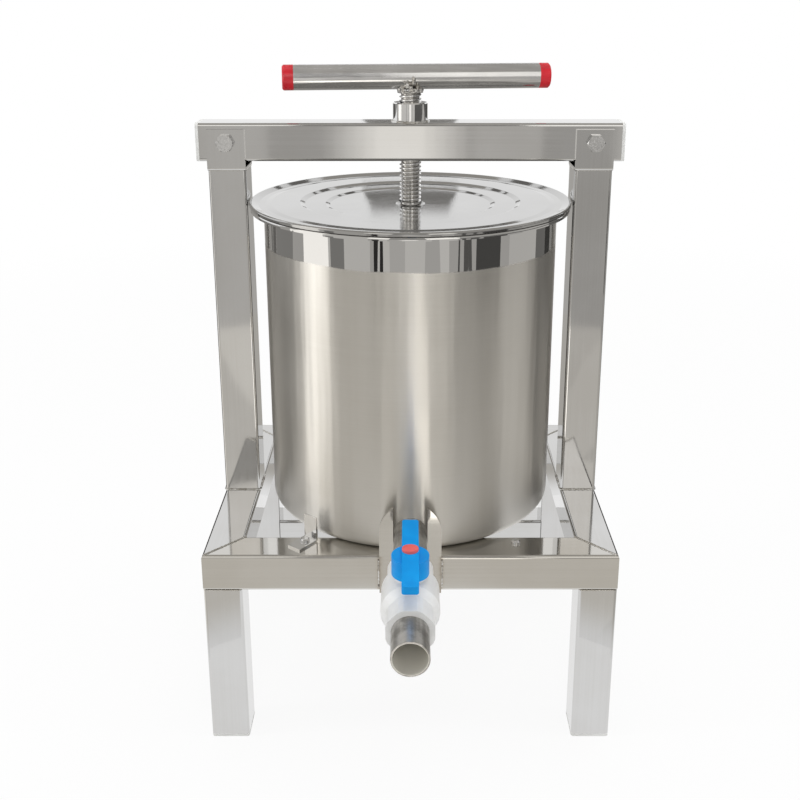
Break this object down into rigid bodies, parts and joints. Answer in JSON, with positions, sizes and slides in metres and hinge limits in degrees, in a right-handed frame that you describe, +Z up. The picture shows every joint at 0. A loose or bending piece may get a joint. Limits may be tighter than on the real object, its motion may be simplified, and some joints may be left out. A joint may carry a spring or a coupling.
{
  "type": "honey press",
  "caption": "Hand screw press for honeycomb: a lidded stainless barrel in a square-tube stand, with a basket, a press plate and a plastic ball valve at its outlet",
  "frame": {"origin": "middle of the footprint, on the floor under the feet", "axes": "+Z up along the press screw, +X to the right along the crossbeam, -Y to the front where the outlet valve is; the barrel's axis stands at y = 0.09275"},
  "size_m": [0.428, 0.5134, 0.6645],
  "materials": {
    "frame_tube": "satin",
    "barrel_sheet": "brushed, polished band at the rim",
    "lid_sheet": "polished",
    "perforated_sheet": "satin",
    "press_steel": "machined",
    "pipe_steel": "satin",
    "bolt_steel": "machined",
    "pale_plug": "matt",
    "white_pvc": "semi-gloss",
    "seat_white": "matt",
    "blue_plastic": "semi-gloss",
    "red_plastic": "semi-gloss"
  },
  "bodies": {
    "frame": {"front_rail": "frame_tube", "rear_rail": "frame_tube", "left_side_rail": "frame_tube", "right_side_rail": "frame_tube", "front_left_leg": "frame_tube", "front_right_leg": "frame_tube", "rear_left_leg": "frame_tube", "rear_right_leg": "frame_tube", "rear_stretcher": "frame_tube", "left_post": "frame_tube", "right_post": "frame_tube", "left_fork": "frame_tube", "right_fork": "frame_tube", "crossbeam": "frame_tube", "leg_end_caps": "pale_plug", "beam_end_plugs": "pale_plug", "fork_bolts": "bolt_steel", "fork_washers": "bolt_steel", "fork_nuts": "bolt_steel", "stop_screws": "bolt_steel", "screw_nut": "press_steel", "outlet_cradle": "pipe_steel", "barrel_stop": "pipe_steel", "outlet_stub": "pipe_steel", "spout": "pipe_steel", "basket_feet": "pipe_steel", "barrel_front_left": "barrel_sheet", "barrel_front_right": "barrel_sheet", "barrel_rear_left": "barrel_sheet", "barrel_rear_right": "barrel_sheet", "barrel_floor": "barrel_sheet", "barrel_foot": "barrel_sheet", "barrel_rim": "barrel_sheet", "basket": "perforated_sheet", "valve_body": "white_pvc", "valve_end_collar": "white_pvc", "back_valve_seat": "seat_white", "front_valve_seat": "seat_white"},
    "lid": {"lid": "lid_sheet"},
    "press": {"press_plate": "press_steel", "press_ribs": "press_steel", "press_hub": "press_steel", "thrust_washer": "press_steel"},
    "screw": {"press_screw": "press_steel", "screw_retainer": "press_steel", "handle_tube": "pipe_steel", "right_handle_cap": "red_plastic", "left_handle_cap": "red_plastic"},
    "valve_turn": {"valve_ball": "white_pvc", "valve_stem": "white_pvc", "valve_handle": "blue_plastic", "valve_handle_cap": "red_plastic"}
  },
  "joints": [
    {"name": "lid_lift", "type": "slide", "parent": "frame", "child": "lid", "axis": [0, 0, 1], "range_m": [0, 0.0355]},
    {"name": "press_travel", "type": "slide", "parent": "frame", "child": "press", "axis": [0, 0, 1], "range_m": [0, 0.2]},
    {"name": "screw_turn", "type": "hinge", "parent": "press", "child": "screw", "pos_m": [0, 0.09275, 0.405], "axis": [0, 0, 1], "range_deg": [0, 18000]},
    {"name": "valve_handle_turn", "type": "hinge", "parent": "frame", "child": "valve_turn", "pos_m": [0, -0.1755, 0.252], "axis": [0, 0, 1], "range_deg": [0, 90]}
  ],
  "couplings": [
    {"joint": "press_travel", "follows": "screw_turn", "m_per_rad": 0.00063662}
  ]
}
